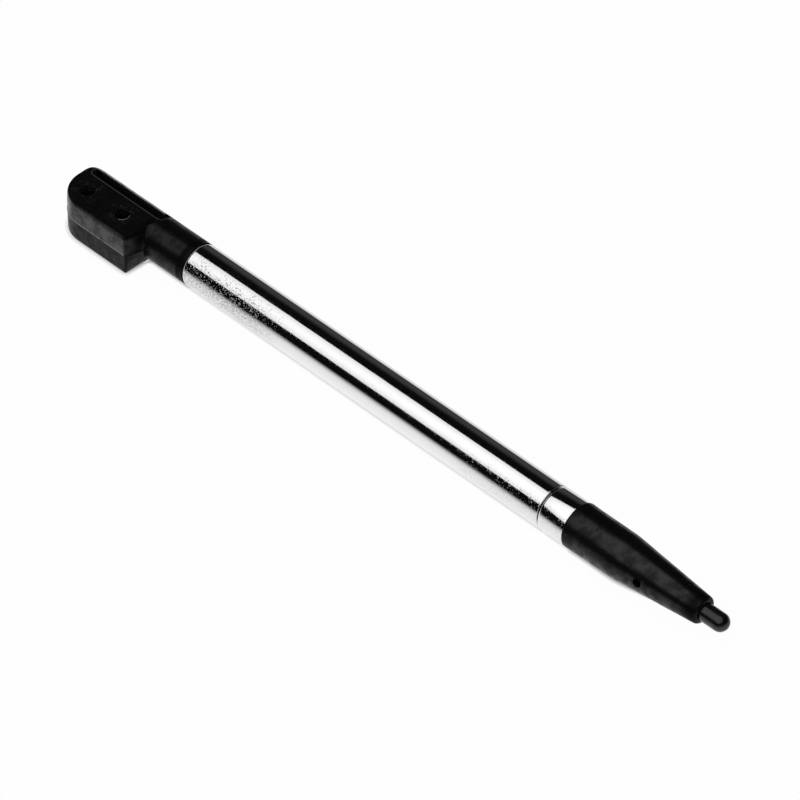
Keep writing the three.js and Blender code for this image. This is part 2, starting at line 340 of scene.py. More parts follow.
class Signal:
    """A socket of a shader. Arithmetic on it adds Math nodes."""

    def __init__(self, shader, socket):
        self.shader = shader
        self.socket = socket

    def math(self, operation, *others, first=None):
        """A Math node on this value and the others, or on the first one given and this value."""
        values = (first, self) if first is not None else (self, *others)
        return self.shader.node("Math", {"operation": operation}, dict(enumerate(values)))

    def __add__(self, other):
        return self.math("ADD", other)

    def __sub__(self, other):
        return self.math("SUBTRACT", other)

    def __rsub__(self, other):
        return self.math("SUBTRACT", first=other)

    def __mul__(self, other):
        return self.math("MULTIPLY", other)

    def __truediv__(self, other):
        return self.math("DIVIDE", other)

    def __rtruediv__(self, other):
        return self.math("DIVIDE", first=other)

    __radd__ = __add__
    __rmul__ = __mul__

    def fade(self, low, high, start=0.0, end=1.0):
        """A smooth step from start to end while the value goes from low to high."""
        return self.shader.node(
            "MapRange",
            {"interpolation_type": "SMOOTHSTEP"},
            {"Value": self, "From Min": low, "From Max": high, "To Min": start, "To Max": end},
        )


class Shader:
    """The node tree of a material or of the world."""

    def __init__(self, tree):
        self.tree = tree
        tree.nodes.clear()

    def node(self, kind, settings=None, inputs=None, output=0):
        """Adds a node, first its settings and then its sockets' values or links, and gives one output."""
        node = self.tree.nodes.new("ShaderNode" + kind)
        for key, value in (settings or {}).items():
            setattr(node, key, value)
        for key, value in (inputs or {}).items():
            if isinstance(value, Signal):
                self.tree.links.new(value.socket, node.inputs[key])
            else:
                node.inputs[key].default_value = value
        return Signal(self, node.outputs[output]) if node.outputs else None

    def place(self):
        """The place on the object in millimetres, so that a texture's scale is a count per millimetre."""
        coordinates = self.node("TexCoord", output="Object")
        return self.node("VectorMath", {"operation": "SCALE"}, {0: coordinates, "Scale": 1 / MM})

    def part(self, vector, letter):
        return self.node("SeparateXYZ", inputs={"Vector": vector}, output=letter)

    def noise(self, place, scale, detail=3.0, roughness=0.5):
        return self.node(
            "TexNoise", inputs={"Vector": place, "Scale": scale, "Detail": detail, "Roughness": roughness}
        )

    def spots(self, place, scale, share, size):
        """Round spots in a share of the cells of a random pattern. Size is their radius in cells."""
        cells = {"Vector": place, "Scale": scale}
        distance = self.node("TexVoronoi", inputs=cells, output="Distance")
        random = self.part(self.node("TexVoronoi", inputs=cells, output="Color"), "X")
        chosen = (random + share).fade(1.0, 1.02)
        return distance.fade(size, size * 0.5) * chosen

    def distance(self, place, point):
        return self.node("VectorMath", {"operation": "DISTANCE"}, {0: place, 1: point}, output="Value")

    def blend(self, first, second, share):
        """A colour between two colours, which go to the Mix node's colour sockets by number."""
        colours = {6: (*first, 1), 7: (*second, 1)}
        return self.node("Mix", {"data_type": "RGBA"}, {"Factor": share, **colours}, output=2)

    def grey(self, low, high, share):
        """A grey between two levels, as a colour."""
        return self.blend((low, low, low), (high, high, high), share)

    def bump(self, height, depth):
        """A bump whose depth is in millimetres."""
        return self.node("Bump", inputs={"Height": height, "Distance": depth * MM})

    def surface(self, **sockets):
        named = {key.replace("_", " "): value for key, value in sockets.items()}
        principled = self.node("BsdfPrincipled", inputs=named)
        self.node("OutputMaterial", inputs={"Surface": principled})


def new_material(name):
    material = bpy.data.materials.new(name)
    material.use_nodes = True
    return material, Shader(material.node_tree)


# Finishes. Places and reaches are in millimetres.

FRONT_PITS = (34, 40)
FRONT_PITS_SHARE = 0.3
PITS_FADE = 3
PIT_DEPTH = 0.022
PLATE_LEVEL = 0.86
PIT_LEVEL = 0.25
BLACK_LEVEL = 0.0025
PALE_LEVEL = 0.26
EDGE_DULL_LENGTH = (0.35, 0.5)
NIB_DULL_LENGTH = 0.35

# A painted highlight: a pale line round the pocket's mouth, where its rim would catch the light.
# How far out it lies, its half-width, and how its corners are cut
LINE_OFFSET = 0.06
LINE_WIDTH = (0.03, 0.08)
LINE_CORNER_CUT = 0.1
LINE_LEVELS = (0.16, 0.1)
SMEAR_LEVEL = 0.08
SMEAR_REACH = (1.1, 2.1)
HOLLOW_DULLNESS = 0.85


def row_x(place):
    """A place along the pen as the materials see it, in millimetres."""
    return SHOULDER_X / MM + place


def pitted_chrome(name, pitted_length, least_pits, rim_length):
    """Bright plating. Pits crowd its near side at the rear and less so at the front, dust lies all over, and
    the barrel's rear rim is rubbed."""
    material, s = new_material(name)
    place = s.place()
    rear = barrel_low.x / MM
    front_from, front_to = FRONT_PITS
    x = s.part(place, "X")
    along = x.fade(rear + pitted_length - PITS_FADE, rear + pitted_length + PITS_FADE, 1, least_pits)
    along = along.math("MAXIMUM", x.fade(rear + front_from, rear + front_to, 0, FRONT_PITS_SHARE))
    outward = AXIS_Y / MM - s.part(place, "Y")
    near_side = outward.fade(0.5, 1.8)
    low_side = outward.fade(1.9, 2.2)
    crowd = along * s.noise(place, 0.5, 2).fade(0.36, 0.56, 0.4, 1)
    grain = s.noise(place, 6, 1)
    pits = grain.fade(0.58, 0.72) * near_side * crowd
    dust = s.spots(place, scale=2.6, share=0.06, size=0.2)
    marks = grain.fade(0.56, 0.68) * crowd * near_side.math("MAXIMUM", 0.4)
    marks = marks.math("MAXIMUM", dust * 0.8)
    grime = low_side * along * s.noise(place, 4.5, 2).fade(0.42, 0.64, 0.12, 0.6)
    haze = s.noise(place, 2.2).fade(0.35, 0.75)
    rim = x.fade(rear + rim_length * 0.6, rear + rim_length, 1, 0)
    s.surface(
        Base_Color=s.grey(PLATE_LEVEL, PIT_LEVEL, (marks * 0.7).math("MAXIMUM", grime)),
        Metallic=1 - rim * 0.7,
        Roughness=(0.05 + haze * 0.04 + marks * 0.12 + rim * 0.45).math("MINIMUM", 1.0),
        Normal=s.bump(s.noise(place, 0.35, 1) * 0.4 - pits, PIT_DEPTH),
    )
    return material


def painted_pocket_highlight(x, y):
    """A painted highlight: a pale line round the mouth of the pocket along the spine, stronger on its near
    side.
    """
    rear = FLAG_REAR + SLOT_REAR_WALL
    corner = SLOT_WIDTH / 2 - LINE_CORNER_CUT
    middle_y = AXIS_Y / MM + SLOT_NEAR + SLOT_WIDTH / 2
    along = (x - row_x((SLOT_RUN_OUT + rear) / 2)).math("ABSOLUTE")
    across = (y - middle_y).math("ABSOLUTE")
    out_x = (along - ((SLOT_RUN_OUT - rear) / 2 - corner)).math("MAXIMUM", 0.0)
    out_y = (across - (SLOT_WIDTH / 2 - corner)).math("MAXIMUM", 0.0)
    from_line = ((out_x * out_x + out_y * out_y).math("SQRT") - (corner + LINE_OFFSET)).math("ABSOLUTE")
    return from_line.fade(*LINE_WIDTH, 1, 0) * y.fade(middle_y, middle_y + 0.3, *LINE_LEVELS)


def hole_smears(s, place):
    """Broken pale smears round the core holes."""
    holes = [(row_x(x), AXIS_Y / MM + CORE_HOLE_Y, AXIS_Z / MM + FLAG_HALF) for x in CORE_HOLES_X]
    from_rear, from_front = [s.distance(place, hole) for hole in holes]
    streaks = s.noise(place, 4.5, 3, 0.7).fade(0.49, 0.66) * s.noise(place, 1.1, 1).fade(0.4, 0.55)
    return streaks * SMEAR_LEVEL * from_rear.math("MINIMUM", from_front).fade(*SMEAR_REACH, 1, 0)


def hollow_dullness(x, out, up):
    """How dull the hollow between shoulder and neck is, by the place along and across the pen."""
    radius = (out * out + up * up).math("SQRT")
    off_neck = radius.fade(2.4, 2.7).math("MAXIMUM", x.fade(row_x(0.1), row_x(0.3), 1, 0))
    near_neck = radius.fade(2.9, 4.2, 1, 0) * x.fade(row_x(-0.6), row_x(-0.3)) * out.fade(-0.6, 0, 1, 0)
    return off_neck * near_neck * HOLLOW_DULLNESS


def head_smears_and_highlight(s, place):
    """Where the head is pale, with real smears and a painted highlight round the pocket, and where it is dull.
    """
    x, y = s.part(place, "X"), s.part(place, "Y")
    out, up = y - AXIS_Y / MM, s.part(place, "Z") - AXIS_Z / MM
    # The line round the pocket is a painted highlight; the smears round the holes are real marks.
    pale_smears_and_highlight = painted_pocket_highlight(x, y).math("MAXIMUM", hole_smears(s, place)) * up.fade(1.4, 1.6)
    return pale_smears_and_highlight, hollow_dullness(x, out, up)


def moulded_black(name, upper, lower, rear_end, front_end, marks=None):
    """Satin black plastic, pale where rubbed or stressed, and where a highlight is painted on.
    Its smoky polish changes over its rear end, in each half from one level to another, and is nearly gone
    at its front end."""
    material, s = new_material(name)
    place = s.place()
    x = s.part(place, "X")
    grain = s.noise(place, 7)
    smoke = s.noise(place, 0.9, 4, 0.65).fade(0.37, 0.63)
    scuffs = s.noise(place, 5, 3, 0.7).fade(0.6, 0.72) * s.noise(place, 0.5, 2).fade(0.45, 0.6)
    dust = s.spots(place, scale=1.8, share=0.05, size=0.1)
    pale_smears_and_highlight, dull = marks(s, place) if marks else (0.0, 0.0)
    # Pale from real wear, dust and smears, and from painted highlights on the parting line, burr and pocket
    # rim.
    edge = s.node("Attribute", {"attribute_name": "wear_and_highlight"}, output="Fac").math("MAXIMUM", pale_smears_and_highlight)
    edge = edge * s.noise(place, 3, 2).fade(0.3, 0.5, 0.55, 1)
    above = (s.part(place, "Z") - AXIS_Z / MM).fade(-0.02, 0.02)
    polish = above * x.fade(*rear_end, *upper) * (1 - dull)
    polish = polish + (1 - above) * x.fade(*rear_end, *lower)
    end_round = x.fade(*[front_end[1] + length for length in EDGE_DULL_LENGTH], 0, 0.5)
    polish = polish * x.fade(*front_end, 1, 0.1).math("MAXIMUM", end_round)
    paleness = (edge + scuffs * 0.03 + dust * 0.25).math("MINIMUM", 1.0)
    s.surface(
        Base_Color=s.grey(BLACK_LEVEL, PALE_LEVEL, paleness),
        Roughness=grain * 0.1 + 0.4,
        Specular_IOR_Level=0.02,
        Coat_Weight=((smoke * 0.6 + 0.4) * polish).math("MINIMUM", 1.0),
        Coat_Roughness=0.24,
        Normal=s.bump(grain + smoke * 0.5, 0.006),
    )
    return material


def polished_black(name):
    """The nib's harder plastic, polished by use but for the part next to the mouth of the holder."""
    material, s = new_material(name)
    place = s.place()
    rub = s.noise(place, 2.5, 4).fade(0.35, 0.7)
    in_use = s.part(place, "X").fade(row_x(TIP_FRONT), row_x(TIP_FRONT + NIB_DULL_LENGTH))
    s.surface(
        Base_Color=s.grey(0.0015, 0.006, rub),
        Roughness=rub * 0.1 + 0.35,
        Specular_IOR_Level=0.02,
        Coat_Weight=in_use * (1 - rub * 0.25),
        Coat_Roughness=0.2,
        Normal=s.bump(s.noise(place, 12, 2), 0.003),
    )
    return material


def turned_metal(name, colour, roughness):
    """A turned surface with fine rings round the pen's axis, darker where it is stained."""
    material, s = new_material(name)
    place = s.place()
    rings = s.node("TexNoise", {"noise_dimensions": "1D"}, {"W": s.part(place, "X"), "Scale": 22.0})
    stain = s.noise(place, 1.1).fade(0.4, 0.7)
    stained = tuple(0.72 * part for part in colour)
    s.surface(
        Base_Color=s.blend(colour, stained, stain),
        Metallic=1.0,
        Roughness=roughness + rings * 0.12,
        Normal=s.bump(rings, 0.004),
    )
    return material


def natural_acetal(name):
    """Waxy off-white plastic."""
    material, s = new_material(name)
    place = s.place()
    cloud = s.noise(place, 1.2)
    s.surface(
        Base_Color=s.blend((0.72, 0.7, 0.63), (0.6, 0.57, 0.49), cloud),
        Roughness=0.36 + cloud * 0.1,
        Normal=s.bump(s.noise(place, 10, 2), 0.004),
    )
    return material


barrel_chrome = pitted_chrome("barrel_chrome", pitted_length=12, least_pits=0.1, rim_length=0.2)
ferrule_chrome = pitted_chrome("ferrule_chrome", pitted_length=0, least_pits=0.3, rim_length=0)
tube_chrome = pitted_chrome("tube_chrome", pitted_length=0, least_pits=0.0, rim_length=0)
head_plastic = moulded_black(
    "head_plastic", upper=(1.2, 0.42), lower=(0.34, 0.3),
    rear_end=(row_x(-0.6), row_x(0.15)), front_end=(row_x(4.9), row_x(5.2)), marks=head_smears_and_highlight,
)
tip_plastic = moulded_black(
    "tip_plastic", upper=(0.4, 0.7), lower=(0.4, 0.7),
    rear_end=(row_x(TIP_REAR), row_x(TIP_REAR + 2.5)),
    front_end=(row_x(TIP_FRONT - 2), row_x(TIP_FRONT - 0.7)),
)
nib_plastic = polished_black("nib_plastic")
turned_brass = turned_metal("sleeve_brass", colour=(0.62, 0.42, 0.16), roughness=0.22)
bush_acetal = natural_acetal("bush_acetal")


# The head

def flag_outline():
    """The flag from above: round at its rear corners, running past the shoulder."""
    far_arc = arc(FLAG_REAR + BARREL_RADIUS, 0, BARREL_RADIUS, 90, 180, steps=12)
    near_arc = arc(FLAG_REAR + NEAR_CORNER, NEAR_CORNER - FLAG_REACH, NEAR_CORNER, 180, 270, steps=16)
    return [(NECK_FILLET, -FLAG_REACH), (NECK_FILLET, BARREL_RADIUS)] + far_arc + near_arc


def side_levels(round_height, round_width):
    """Heights and insets of the flag's side, from the parting line to the end of the round at its edge."""
    levels = [(PARTING_WIDTH, PARTING_HEIGHT), (FLAG_HALF - round_height, SIDE_INSET)]
    for i in range(1, SIDE_ROUND_STEPS + 1):
        angle = math.radians(90 * i / SIDE_ROUND_STEPS)
        out, up = 1 - math.cos(angle), math.sin(angle)
        levels.append((FLAG_HALF - round_height * (1 - up), SIDE_INSET + round_width * out))
    return levels


def flag_envelope():
    """The space that the flag fills: parting line at mid-height, slow round above, tight round below."""
    bm = bmesh.new()
    middle = Vector((FLAG_REAR / 2, (BARREL_RADIUS - FLAG_REACH) / 2, 0))
    half_size = Vector((-FLAG_REAR / 2 + NECK_FILLET, (BARREL_RADIUS + FLAG_REACH) / 2, 1))
    points = [(x, y, 0) for x, y in flag_outline()]
    above = side_levels(TOP_ROUND_HEIGHT, TOP_ROUND_WIDTH)
    below = side_levels(BOTTOM_ROUND, BOTTOM_ROUND)
    for levels, way in ((above, 1), (below, -1)):
        _, edges = lay_chain(bm, points, closed=True)
        last_height, last_inset = 0, 0
        for height, inset in levels:
            verts, edges = grow(bm, edges)
            scale = Matrix.Diagonal((
                (1 - inset / half_size.x) / (1 - last_inset / half_size.x),
                (1 - inset / half_size.y) / (1 - last_inset / half_size.y),
                1,
                1,
            ))
            shrink = Matrix.Translation(middle) @ scale @ Matrix.Translation(-middle)
            rise = Matrix.Translation((0, 0, way * (height - last_height)))
            bmesh.ops.transform(bm, matrix=rise @ shrink, verts=verts)
            last_height, last_inset = height, inset
        bmesh.ops.contextual_create(bm, geom=edges)
    return closed_body(bm)


def spine_neck_and_shank():
    """The round body along the whole head, with the barbs that hold it in the barrel."""
    profile = [
        (FLAG_REAR - SPARE, 0),
        (FLAG_REAR - SPARE, BARREL_RADIUS),
        (NECK_FRONT, BARREL_RADIUS),
        (NECK_FRONT, SHANK_WAIST),
    ]
    for i in range(BARB_COUNT):
        rear = NECK_FRONT + (i + 0.5) * BARB_PITCH
        profile += [(rear, SHANK_WAIST), (rear, SHANK_WAIST + BARB_HEIGHT), (rear + BARB_LENGTH, SHANK_WAIST)]
    profile += [
        (SHANK_FRONT - SHANK_LEAD_IN, SHANK_WAIST),
        (SHANK_FRONT, SHANK_WAIST - SHANK_LEAD_IN),
        (SHANK_FRONT, SHANK_CORE),
        (SHANK_FRONT - SHANK_CORE_DEPTH, SHANK_CORE),
        (SHANK_FRONT - SHANK_CORE_DEPTH, 0),
    ]
    return turned(profile)


def set_back_at_edge(verts, way, top_round):
    """Rounds the shoulder towards the top or the bottom of the flag by setting its points back."""
    for vert in verts:
        into_round = max(0, vert.co.z * way - FLAG_HALF + TOP_ROUND_HEIGHT)
        share = into_round / (TOP_ROUND_HEIGHT + 2 * TRIM)
        vert.co.x -= top_round * (1 - math.sqrt(1 - share * share))


def shoulder_fillet(shoulder, radius, low, high, top_round=0):
    """The hollow round between shoulder and neck, between two heights."""
    root = BARREL_RADIUS - NECK_FILLET
    rim = BARREL_RADIUS + radius
    ring = turned(
        [(shoulder - radius, root), (shoulder - radius, rim)]
        + arc(shoulder + radius, rim, radius, 180, 270, steps=8)
        + [(shoulder + radius, root)],
        closed=True,
    )
    kept = block((-2 * NECK_FILLET, -FLAG_REACH, low), (2 * NECK_FILLET, 0, high))
    piece = carve(ring, ("INTERSECT", kept))
    set_back_at_edge(piece.verts, 1, top_round)
    return piece


def flag_half(way, slant, setback, step, top_round):
    """The upper or lower half of the flag. Its near corner is round, and its shoulder slants forward to the
    neck at the parting line."""
    bm = bmesh.new()
    near = SIDE_INSET - FLAG_REACH
    outside = -FLAG_REACH - SPARE
    rear = FLAG_REAR - SPARE
    outline = [(0, 0), (rear, 0), (rear, outside), (-CORNER_ROUND, outside)]
    outline += arc(-CORNER_ROUND, near + CORNER_ROUND, CORNER_ROUND, -90, 0)
    _, edges = lay_chain(bm, [(x, y, -OVERLAP * way) for x, y in outline], closed=True)
    bmesh.ops.contextual_create(bm, geom=edges)
    last_height = -OVERLAP
    for height in SHOULDER_LEVELS:
        verts, edges = grow(bm, edges)
        bmesh.ops.translate(bm, vec=(0, 0, way * (height - last_height)), verts=verts)
        last_height = height
    bmesh.ops.contextual_create(bm, geom=edges)
    shoulder = [vert for vert in bm.verts if vert.co.x > -CORNER_ROUND - OVERLAP]
    for vert in shoulder:
        share = max(0, 1 - abs(vert.co.z) / FLAG_HALF)
        from_corner = vert.co.y + FLAG_REACH
        vert.co.x += (from_corner * PARTING_SLANT + PARTING_SWELL) * share - step
        vert.co.x += (from_corner * slant - setback) * (1 - share)
    set_back_at_edge(shoulder, way, top_round)
    return closed_body(bm)


def hole_burr():
    """A moulding burr on the rim of the front core hole, on the side towards the neck."""
    x, y = FRONT_HOLE_X, CORE_HOLE_Y
    bm = bmesh.new()
    place = Matrix.Translation((x + BURR_RADIUS, y, FLAG_HALF)) @ Matrix.Rotation(math.pi / 2, 4, "X")
    ring = bmesh.ops.create_circle(bm, segments=12, radius=BURR_THICKNESS, matrix=place)["verts"]
    edges = list(dict.fromkeys(edge for vert in ring for edge in vert.link_edges))
    bmesh.ops.spin(
        bm, geom=ring + edges, cent=(x, y, 0), axis=(0, 0, 1),
        angle=math.tau, steps=BURR_TURN_STEPS, use_merge=True,
    )
    kept = block(
        (x + BURR_FROM[0], y + BURR_FROM[1], FLAG_HALF - SPARE),
        (x + BURR_TO[0], y + BURR_TO[1], FLAG_HALF + SPARE),
    )
    return carve(closed_body(bm), ("INTERSECT", kept))


def slot_outline():
    """The pocket from above: round at its rear end, and running out in the neck at its front."""
    radius = SLOT_WIDTH / 2
    rear_end = arc(FLAG_REAR + SLOT_REAR_WALL + radius, SLOT_NEAR + radius, radius, 90, 270, steps=16)
    front_corner = arc(SLOT_RUN_OUT - SLOT_CORNER, SLOT_NEAR + SLOT_CORNER, SLOT_CORNER, 270, 360, steps=8)
    return [(SLOT_RUN_OUT, SLOT_NEAR + SLOT_WIDTH)] + rear_end + front_corner


def slot_tool():
    """The long core of the pocket along the spine."""
    bm = bmesh.new()
    _, edges = lay_chain(bm, [(x, y, FLAG_HALF - SLOT_DEPTH) for x, y in slot_outline()], closed=True)
    floor = bmesh.ops.contextual_create(bm, geom=edges)["faces"]
    raised = bmesh.ops.extrude_face_region(bm, geom=floor, use_keep_orig=True)["geom"]
    top = [item for item in raised if isinstance(item, bmesh.types.BMVert)]
    bmesh.ops.translate(bm, vec=(0, 0, SLOT_DEPTH + SPARE), verts=top)
    return closed_body(bm)


def notch_tool():
    """The gap at the front of the pocket's far wall."""
    front = SLOT_RUN_OUT - GAP
    return block(
        (front - NOTCH_LENGTH, SLOT_NEAR + SLOT_WIDTH / 2, FLAG_HALF - NOTCH_DEPTH),
        (front, BARREL_RADIUS + SPARE, FLAG_HALF + SPARE),
    )


def round_tool(radius, depth, sides, place):
    """A plain core or drill."""
    bm = bmesh.new()
    bmesh.ops.create_cone(
        bm, cap_ends=True, segments=sides, radius1=radius, radius2=radius, depth=depth, matrix=place
    )
    return bm


def core_hole_tool(x):
    place = Matrix.Translation((x, CORE_HOLE_Y, FLAG_HALF + (SPARE - CORE_HOLE_DEPTH) / 2))
    return round_tool(CORE_HOLE_RADIUS, CORE_HOLE_DEPTH + SPARE, CORE_HOLE_SIDES, place)


def in_slot(point):
    """Whether a point lies in the pocket or on its rim."""
    margin = RIM_ROUND + RIM_MARGIN
    return (
        point.x < SLOT_RUN_OUT + margin
        and SLOT_NEAR - margin < point.y < SLOT_NEAR + SLOT_WIDTH + margin
        and point.z > SLOT_RIM_LOWEST
    )


def in_hole(point):
    """Whether a point lies in the mouth of a core hole or on its rim."""
    reach = CORE_HOLE_RADIUS + RIM_ROUND + RIM_MARGIN
    return point.z > FLAG_HALF - HOLE_RIM_DEPTH and any(
        math.hypot(point.x - x, point.y - CORE_HOLE_Y) < reach for x in CORE_HOLES_X
    )


def head_wear_and_highlight(point, normal):
    """A painted highlight over some real wear on the parting line and the burr, faint wear on the holes' rims,
    and a little dust in the pocket.
    """
    on_near_side = point.x < -0.3 and point.y < -1
    from_hole = math.hypot(point.x - FRONT_HOLE_X, point.y - CORE_HOLE_Y)
    slopes = 0.05 < normal.z < 0.995
    # The parting line and the burr are painted pale: a painted highlight over some real wear.
    if abs(point.z) < PARTING_WIDTH and on_near_side:
        return PARTING_WEAR_AND_HIGHLIGHT
    if point.z > FLAG_HALF + 0.004 and from_hole < BURR_RADIUS + 2 * BURR_THICKNESS:
        return BURR_WEAR_AND_HIGHLIGHT
    if in_slot(point) and point.z < FLAG_HALF - 0.05:
        return POCKET_DUST
    if in_hole(point) and slopes:
        return HOLE_RIM_WEAR
    return 0.0


def head_body():
    lower = flag_half(-1, slant=0, setback=0, step=0, top_round=BOTTOM_ROUND)
    upper = flag_half(1, UPPER_SLANT, UPPER_SETBACK, PARTING_STEP, SHOULDER_TOP_ROUND)
    front_space = block(
        (FRONT_SPACE_X, -FLAG_REACH - SPARE, -2 * FLAG_HALF), (SHANK_FRONT + SPARE, FLAG_REACH, 2 * FLAG_HALF)
    )
    room = carve(flag_envelope(), ("UNION", front_space))
    bm = carve(
        spine_neck_and_shank(),
        ("UNION", lower),
        ("UNION", upper),
        ("UNION", shoulder_fillet(0, NECK_FILLET, -FLAG_HALF, 0)),
        ("UNION", shoulder_fillet(UPPER_FILLET_X, UPPER_FILLET, 0, FLAG_HALF, SHOULDER_TOP_ROUND)),
        ("INTERSECT", room),
        ("DIFFERENCE", slot_tool()),
        ("DIFFERENCE", notch_tool()),
        *[("DIFFERENCE", core_hole_tool(x)) for x in CORE_HOLES_X],
        ("UNION", hole_burr()),
    )
    soften(bm, 35, in_slot)
    soften(bm, 60, in_hole)
    mark_wear_and_highlight(bm, head_wear_and_highlight)
    return closed_body(bm)


add_piece(
    head_body(), "head_moulding", "barrel", head_plastic, "head_cap", sharp_angle=35
)


# The barrel, the tube in it and the ferrule

def barrel_body():
    bore = BARREL_RADIUS - BARREL_WALL
    return turned(
        [(BARREL_REAR, bore)]
        + arc(BARREL_REAR + BARREL_ROUND, BARREL_RADIUS - BARREL_ROUND, BARREL_ROUND, 180, 90)
        + arc(BARREL_MOUTH - MOUTH_ROUND, BARREL_RADIUS - MOUTH_ROUND, MOUTH_ROUND, 90, 0)
        + [
            (BARREL_MOUTH, TUBE_RADIUS + LIP_GAP),
            (BARREL_MOUTH - MOUTH_LIP, TUBE_RADIUS + LIP_GAP),
            (BARREL_MOUTH - MOUTH_LIP, bore),
        ],
        closed=True,
    )


def tube_body():
    bore = TUBE_RADIUS - TUBE_WALL
    return turned(
        [(TUBE_REAR, bore), (TUBE_REAR, TUBE_RADIUS), (TUBE_FRONT, TUBE_RADIUS), (TUBE_FRONT, bore)],
        closed=True,
    )


def ferrule_body():
    hole = TUBE_RADIUS + GAP
    inside = FERRULE_RADIUS - FERRULE_WALL
    return turned(
        [(FERRULE_REAR, hole)]
        + arc(FERRULE_REAR + FERRULE_ROUND, FERRULE_RADIUS - FERRULE_ROUND, FERRULE_ROUND, 180, 90)
        + arc(FERRULE_FRONT - FERRULE_LIP_ROUND, FERRULE_RADIUS - FERRULE_LIP_ROUND, FERRULE_LIP_ROUND, 90, 0)
        + [
            (FERRULE_FRONT, inside),
            (FERRULE_REAR + FERRULE_WALL, inside),
            (FERRULE_REAR + FERRULE_WALL, hole),
        ],
        closed=True,
    )


add_piece(barrel_body(), "barrel_drawn", "barrel", barrel_chrome, "barrel_tube")
add_piece(tube_body(), "tube_drawn", "point_section", tube_chrome, "inner_tube")
add_piece(ferrule_body(), "ferrule_cup", "point_section", ferrule_chrome, "ferrule")


# The tip holder and the nib

def tip_body():
    tube_hole = TUBE_RADIUS + GAP
    spigot = FERRULE_RADIUS - FERRULE_WALL - GAP
    nib_hole = NIB_RADIUS + GAP
    nib_seat = NIB_REAR - GAP
    cone_rear = TIP_REAR + TIP_STRAIGHT
    slope = math.degrees(math.atan2(TIP_RADIUS - TIP_END_RADIUS, TIP_FRONT - cone_rear))
    bend_drop = TIP_BEND * math.tan(math.radians(slope))
    bm = turned(
        [
            (TIP_REAR + TIP_TUBE_DEPTH + GAP, 0),
            (TIP_REAR + TIP_TUBE_DEPTH + GAP, tube_hole),
            (SPIGOT_REAR, tube_hole),
            (SPIGOT_REAR, spigot),
            (TIP_REAR, spigot),
        ]
        + arc(TIP_REAR + TIP_LIP_ROUND, LIP_RADIUS - TIP_LIP_ROUND, TIP_LIP_ROUND, 180, 90, steps=4)
        + swell(TIP_REAR + 0.3 * TIP_LIP, TIP_REAR + 2 * TIP_LIP, LIP_RADIUS, TIP_RADIUS)
        + swell(cone_rear - TIP_BEND, cone_rear + TIP_BEND, TIP_RADIUS, TIP_RADIUS - bend_drop, ease_in)
        + arc(TIP_FRONT - TIP_END_ROUND, TIP_END_RADIUS - TIP_END_ROUND, TIP_END_ROUND, 90 - slope, 0)
        + [
            (TIP_FRONT, nib_hole),
            (nib_seat, nib_hole),
            (nib_seat, VENT_RADIUS),
            (nib_seat - VENT_LENGTH, VENT_RADIUS),
            (nib_seat - VENT_LENGTH, 0),
        ]
    )
    tilt = Matrix.Translation((nib_seat - VENT_LENGTH / 2, 0, 0)) @ Matrix.Rotation(-CROSS_HOLE_TILT, 4, "X")
    stand = Matrix.Translation((0, -TIP_RADIUS, 0)) @ Matrix.Rotation(math.pi / 2, 4, "X")
    drill = round_tool(CROSS_HOLE_RADIUS, 2 * TIP_RADIUS, CROSS_HOLE_SIDES, tilt @ stand)
    return carve(bm, ("DIFFERENCE", drill))


def nib_body():
    return turned(
        [(NIB_REAR, 0), (NIB_REAR, NIB_RADIUS - NIB_CHAMFER), (NIB_REAR + NIB_CHAMFER, NIB_RADIUS)]
        + arc(NIB_FRONT - NIB_RADIUS, 0, NIB_RADIUS, 90, 0, steps=24)
    )


add_piece(tip_body(), "tip_moulding", "point_section", tip_plastic, "tip_holder")
add_piece(nib_body(), "nib_moulding", "point_section", nib_plastic, "nib")


# Finishes of the solids that stay

for node, finish in {
    "guide_bush": bush_acetal,
    "rear_plug": turned_brass,
    "friction_sleeve": turned_brass,
}.items():
    frame["nodes"][node].data.materials.clear()
    frame["nodes"][node].data.materials.append(finish)


# Camera

VIEW_AZIMUTH = 44.8
VIEW_ELEVATION = 43.65
VIEW_DISTANCE = 0.6416
LENS_MM = 300.6
SENSOR_MM = 36
CLIP_START, CLIP_END = 0.01, 20
TARGET = Vector((0.000675, AXIS_Y, AXIS_Z))
TARGET_LIFT = 0.00024


def add_camera():
    azimuth, elevation = math.radians(VIEW_AZIMUTH), math.radians(VIEW_ELEVATION)
    towards = Vector((
        math.sin(azimuth) * math.cos(elevation),
        -math.cos(azimuth) * math.cos(elevation),
        math.sin(elevation),
    ))
    turn = towards.to_track_quat("Z", "Y")
    target = TARGET + turn @ Vector((0, TARGET_LIFT, 0))
    data = bpy.data.cameras.new("camera")
    data.lens = LENS_MM
    data.sensor_width = SENSOR_MM
    data.clip_start = CLIP_START
    data.clip_end = CLIP_END
    camera = bpy.data.objects.new("camera", data)
    camera.matrix_world = Matrix.LocRotScale(target + towards * VIEW_DISTANCE, turn, None)
    bpy.context.scene.collection.objects.link(camera)
    bpy.context.scene.camera = camera


# Light, floor and surroundings

SOFTBOX_DISTANCE = 1.0
SOFTBOX_ANGLE = 115.2
SOFTBOX_SPAN = (2.04, 1.84)
SOFTBOX_EDGE_LEVEL = 0.7
SOFTBOX_LEVEL = 1.25
FLOOR_SIZE = 6
FLOOR_GREY = 0.85
FLOOR_WHITE_SHARE = 0.97
FLOOR_NEAR_REACH = 0.0134
FLOOR_FAR_REACH = 0.05
FLOOR_FAR_SHADE = 0.2
FLOOR_FAR_SHADE_REACH = 0.003
FLOOR_FALL = 3
CONTACT_SHADE_REACH = 0.0005
CONTACT_SHADE_POWER = 1.5
ROOM_LEVEL = 0.003
ROOM_FAR_LEVEL = 0.04
FILL_LEVEL = 0.3


